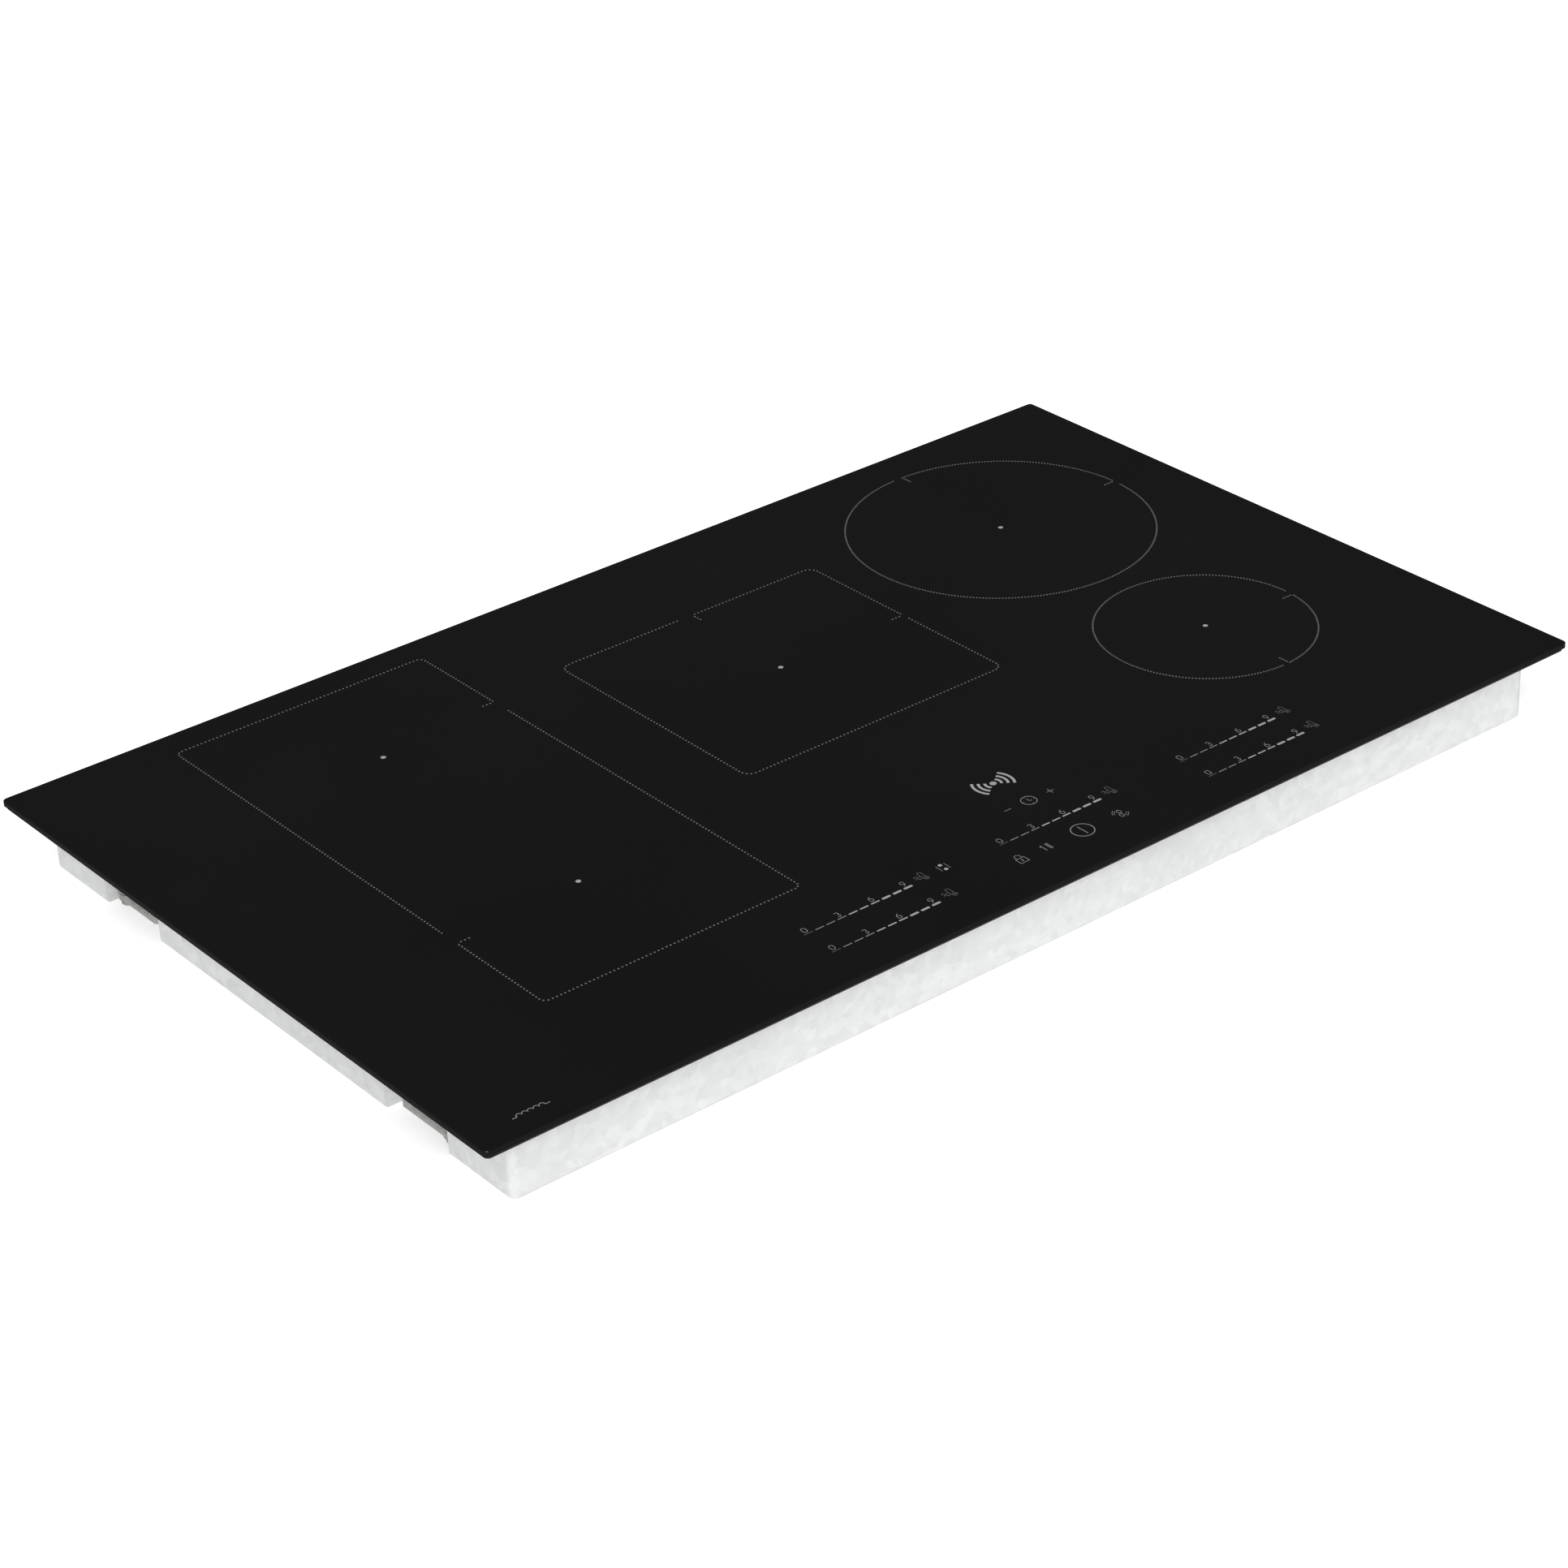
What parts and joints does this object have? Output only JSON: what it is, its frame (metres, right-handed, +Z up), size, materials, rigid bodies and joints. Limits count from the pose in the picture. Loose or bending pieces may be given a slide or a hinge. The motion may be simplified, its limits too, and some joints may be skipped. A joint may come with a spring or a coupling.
{
  "type": "electric induction cooktop",
  "caption": "Flat black glass built-in induction cooktop with printed zones and touch sliders over a shallow vented steel case with swing clamps.",
  "frame": {"origin": "centre of the glass's outline, on the plane that the bottom of the case stands on", "axes": "+X to the user's right along the long side, +Y to the back, +Z up through the glass"},
  "size_m": [0.85, 0.51, 0.051],
  "materials": {
    "black_glass": "polished black glass-ceramic",
    "seal_foam": "closed-cell foam strip",
    "silicone": "matt silicone",
    "galvanised_steel": "galvanised",
    "case_steel": "zinc-coated sheet with a fine grain",
    "zinc_screws": "zinc plated",
    "black_nylon": "fine moulded texture",
    "circuit_board": "green solder mask",
    "heatsink_aluminium": "extruded",
    "black_epoxy": "moulded epoxy",
    "capacitor_shell": "smooth shell",
    "copper_wire": "enamelled winding",
    "ferrite": "sintered",
    "spring_steel": "bright spring steel",
    "lead_sleeve": "glass-fibre sleeve",
    "insulation_felt": "ceramic felt under mica",
    "display_plastic": "smoked display window",
    "ribbon_cable": "flat cable",
    "terminal_plastic": "moulded",
    "cover_plastic": "fine moulded texture",
    "gland_plastic": "satin nylon",
    "plate_aluminium": "rolled sheet",
    "former_plastic": "glass-filled plastic",
    "litz_wire": "enamelled stranded copper",
    "rotor_plastic": "moulded",
    "clamp_steel": "zinc-plated pressing",
    "glass_print": "fired light grey enamel print on the glass"
  },
  "bodies": {
    "hob": {"glass_panel": "black_glass", "worktop_seal": "seal_foam", "glass_bond": "silicone", "glass_frame": "galvanised_steel", "bottom_case": "case_steel", "case_screws": "zinc_screws", "board_trays": "black_nylon", "filter_board": "circuit_board", "heatsinks": "heatsink_aluminium", "power_transistors": "black_epoxy", "film_capacitors": "capacitor_shell", "choke_coils": "copper_wire", "coil_ferrites": "ferrite", "coil_springs": "spring_steel", "coil_leads": "lead_sleeve", "insulation_pads": "insulation_felt", "temperature_sensors": "silicone", "fan_axles": "spring_steel", "ui_carrier": "black_nylon", "touch_board": "circuit_board", "touch_springs": "spring_steel", "display_modules": "display_plastic", "ui_ribbon": "ribbon_cable", "terminal_box": "black_nylon", "terminal_block": "terminal_plastic", "cable_gland": "gland_plastic", "power_board_left": "circuit_board", "coil_plate_left": "plate_aluminium", "power_board_middle": "circuit_board", "coil_plate_middle": "plate_aluminium", "power_board_right": "circuit_board", "coil_plate_right": "plate_aluminium", "coil_former_left_rear": "former_plastic", "coil_winding_left_rear": "litz_wire", "coil_former_left_front": "former_plastic", "coil_winding_left_front": "litz_wire", "coil_former_middle": "former_plastic", "coil_winding_middle": "litz_wire", "coil_former_right_rear": "former_plastic", "coil_winding_right_rear": "litz_wire", "coil_former_right_front": "former_plastic", "coil_winding_right_front": "litz_wire", "fan_housing_left": "black_nylon", "fan_housing_right": "black_nylon"},
    "fan_rotor_left": {"fan_rotor_left": "rotor_plastic"},
    "fan_rotor_right": {"fan_rotor_right": "rotor_plastic"},
    "terminal_cover": {"terminal_cover": "cover_plastic"},
    "clamp_screw_left_front": {"clamp_screw_left_front": "zinc_screws"},
    "clamp_nut_left_front": {"clamp_nut_left_front": "zinc_screws"},
    "clamp_arm_left_front": {"clamp_arm_left_front": "clamp_steel"},
    "clamp_screw_left_rear": {"clamp_screw_left_rear": "zinc_screws"},
    "clamp_nut_left_rear": {"clamp_nut_left_rear": "zinc_screws"},
    "clamp_arm_left_rear": {"clamp_arm_left_rear": "clamp_steel"},
    "clamp_screw_right_front": {"clamp_screw_right_front": "zinc_screws"},
    "clamp_nut_right_front": {"clamp_nut_right_front": "zinc_screws"},
    "clamp_arm_right_front": {"clamp_arm_right_front": "clamp_steel"},
    "clamp_screw_right_rear": {"clamp_screw_right_rear": "zinc_screws"},
    "clamp_nut_right_rear": {"clamp_nut_right_rear": "zinc_screws"},
    "clamp_arm_right_rear": {"clamp_arm_right_rear": "clamp_steel"}
  },
  "joints": [
    {"name": "fan_spin_left", "type": "hinge", "parent": "hob", "child": "fan_rotor_left", "pos_m": [-0.222, 0.15, 0.013], "axis": [0, 0, 1], "continuous": true},
    {"name": "fan_spin_right", "type": "hinge", "parent": "hob", "child": "fan_rotor_right", "pos_m": [0.222, 0.15, 0.013], "axis": [0, 0, 1], "continuous": true},
    {"name": "terminal_cover_hinge", "type": "hinge", "parent": "hob", "child": "terminal_cover", "pos_m": [0.345, 0.245, 0.0055], "axis": [-1, 0, 0], "range_deg": [0, 90]},
    {"name": "clamp_screw_turn_left_front", "type": "hinge", "parent": "hob", "child": "clamp_screw_left_front", "pos_m": [-0.391, -0.172, 0.02], "axis": [0, 0, 1], "range_deg": [0, 7200]},
    {"name": "clamp_lift_left_front", "type": "slide", "parent": "hob", "child": "clamp_nut_left_front", "axis": [0, 0, 1], "range_m": [0, 0.016]},
    {"name": "clamp_swing_left_front", "type": "hinge", "parent": "clamp_nut_left_front", "child": "clamp_arm_left_front", "pos_m": [-0.391, -0.172, 0.0072], "axis": [0, 0, 1], "range_deg": [0, 90]},
    {"name": "clamp_screw_turn_left_rear", "type": "hinge", "parent": "hob", "child": "clamp_screw_left_rear", "pos_m": [-0.391, 0.172, 0.02], "axis": [0, 0, 1], "range_deg": [0, 7200]},
    {"name": "clamp_lift_left_rear", "type": "slide", "parent": "hob", "child": "clamp_nut_left_rear", "axis": [0, 0, 1], "range_m": [0, 0.016]},
    {"name": "clamp_swing_left_rear", "type": "hinge", "parent": "clamp_nut_left_rear", "child": "clamp_arm_left_rear", "pos_m": [-0.391, 0.172, 0.0072], "axis": [0, 0, -1], "range_deg": [0, 90]},
    {"name": "clamp_screw_turn_right_front", "type": "hinge", "parent": "hob", "child": "clamp_screw_right_front", "pos_m": [0.391, -0.172, 0.02], "axis": [0, 0, 1], "range_deg": [0, 7200]},
    {"name": "clamp_lift_right_front", "type": "slide", "parent": "hob", "child": "clamp_nut_right_front", "axis": [0, 0, 1], "range_m": [0, 0.016]},
    {"name": "clamp_swing_right_front", "type": "hinge", "parent": "clamp_nut_right_front", "child": "clamp_arm_right_front", "pos_m": [0.391, -0.172, 0.0072], "axis": [0, 0, -1], "range_deg": [0, 90]},
    {"name": "clamp_screw_turn_right_rear", "type": "hinge", "parent": "hob", "child": "clamp_screw_right_rear", "pos_m": [0.391, 0.172, 0.02], "axis": [0, 0, 1], "range_deg": [0, 7200]},
    {"name": "clamp_lift_right_rear", "type": "slide", "parent": "hob", "child": "clamp_nut_right_rear", "axis": [0, 0, 1], "range_m": [0, 0.016]},
    {"name": "clamp_swing_right_rear", "type": "hinge", "parent": "clamp_nut_right_rear", "child": "clamp_arm_right_rear", "pos_m": [0.391, 0.172, 0.0072], "axis": [0, 0, 1], "range_deg": [0, 90]}
  ],
  "couplings": [
    {"joint": "clamp_screw_turn_left_front", "follows": "clamp_lift_left_front", "rad_per_m": 7853.9},
    {"joint": "clamp_screw_turn_left_rear", "follows": "clamp_lift_left_rear", "rad_per_m": 7853.9},
    {"joint": "clamp_screw_turn_right_front", "follows": "clamp_lift_right_front", "rad_per_m": 7853.9},
    {"joint": "clamp_screw_turn_right_rear", "follows": "clamp_lift_right_rear", "rad_per_m": 7853.9}
  ]
}
